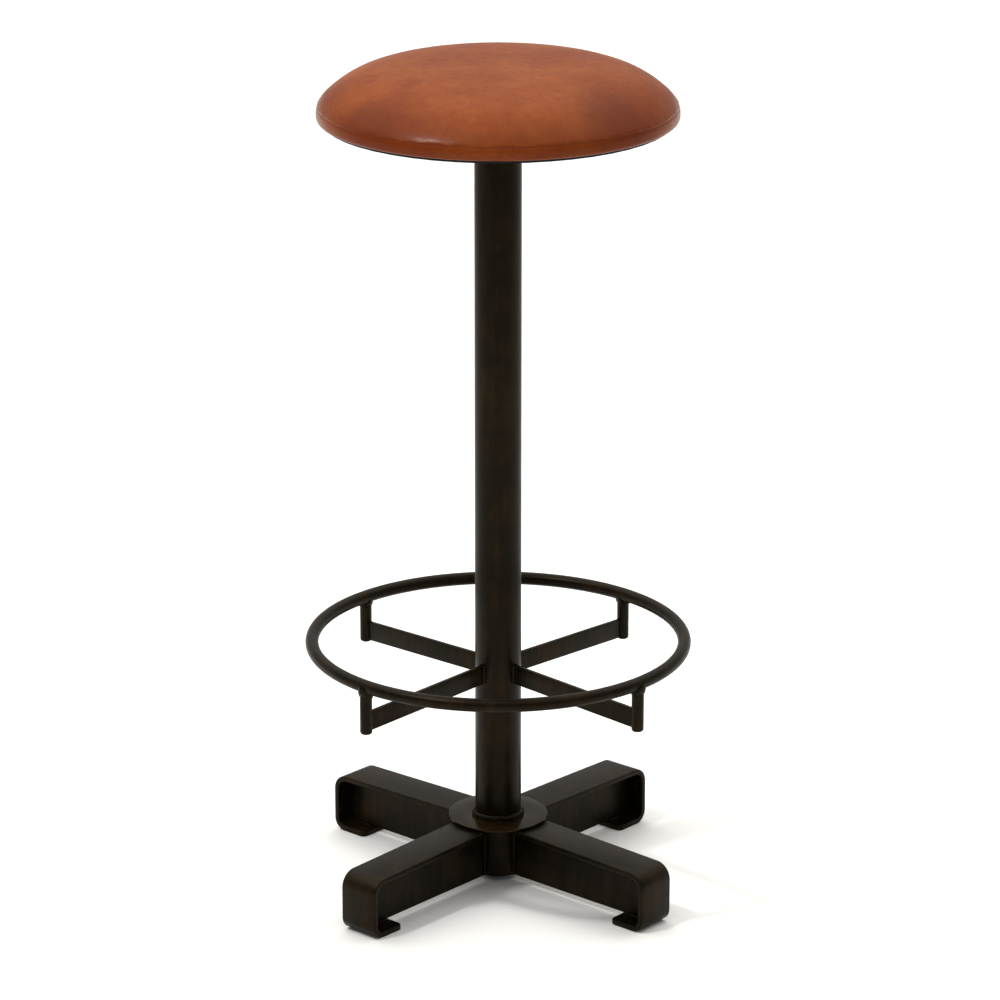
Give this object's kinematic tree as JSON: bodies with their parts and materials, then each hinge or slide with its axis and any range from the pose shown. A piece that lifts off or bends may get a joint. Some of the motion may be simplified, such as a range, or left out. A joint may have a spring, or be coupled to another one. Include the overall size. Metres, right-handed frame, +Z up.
{
  "type": "bar stool",
  "caption": "Bar stool with a domed round leather seat that turns on a steel tube post, a ring footrest on pegs and arms, and a cross base of bent flat bar.",
  "frame": {"origin": "on the post's axis, on the floor that the feet rest on", "axes": "+Z up along the post; the base's four legs lie near the diagonals between +X and +Y, and -Y is the side seen from the front"},
  "size_m": [0.354, 0.354, 0.7744],
  "materials": {
    "blackened_steel": "satin black-brown patina under clear lacquer",
    "weld_steel": "rippled weld bead under the same dark finish",
    "tan_leather": "smooth semi-gloss tan hide, mottled",
    "cream_foam": "cut upholstery foam",
    "birch_plywood": "bare sanded plywood",
    "black_hardboard": "matt black painted hardboard",
    "zinc_steel": "zinc plated",
    "bright_steel": "turned and lightly oiled",
    "bush_nylon": "natural cast nylon"
  },
  "bodies": {
    "frame": {"post_tube": "blackened_steel", "base_disc": "blackened_steel", "leg_strip_rear_right": "blackened_steel", "leg_strip_rear_left": "blackened_steel", "leg_strip_front_left": "blackened_steel", "leg_strip_front_right": "blackened_steel", "leg_web_rear_right": "blackened_steel", "leg_web_rear_left": "blackened_steel", "leg_web_front_left": "blackened_steel", "leg_web_front_right": "blackened_steel", "footrest_ring": "blackened_steel", "footrest_peg_rear_right": "blackened_steel", "footrest_peg_rear_left": "blackened_steel", "footrest_peg_front_left": "blackened_steel", "footrest_peg_front_right": "blackened_steel", "footrest_arm_rear_right": "blackened_steel", "footrest_arm_rear_left": "blackened_steel", "footrest_arm_front_left": "blackened_steel", "footrest_arm_front_right": "blackened_steel", "post_foot_weld": "weld_steel", "upper_bush": "bush_nylon", "lower_bush": "bush_nylon", "thrust_washer": "bush_nylon"},
    "seat": {"seat_spindle": "bright_steel", "retaining_washer": "zinc_steel", "spindle_bolt": "zinc_steel", "flange_plate": "blackened_steel", "dust_cover": "black_hardboard", "seat_board": "birch_plywood", "foam_pad": "cream_foam", "leather_cover": "tan_leather", "seat_screw_1": "zinc_steel", "seat_screw_2": "zinc_steel", "seat_screw_3": "zinc_steel", "seat_screw_4": "zinc_steel"}
  },
  "joints": [
    {"name": "seat_swivel", "type": "hinge", "parent": "frame", "child": "seat", "pos_m": [0, 0, 0.7165], "axis": [0, 0, 1], "continuous": true}
  ]
}
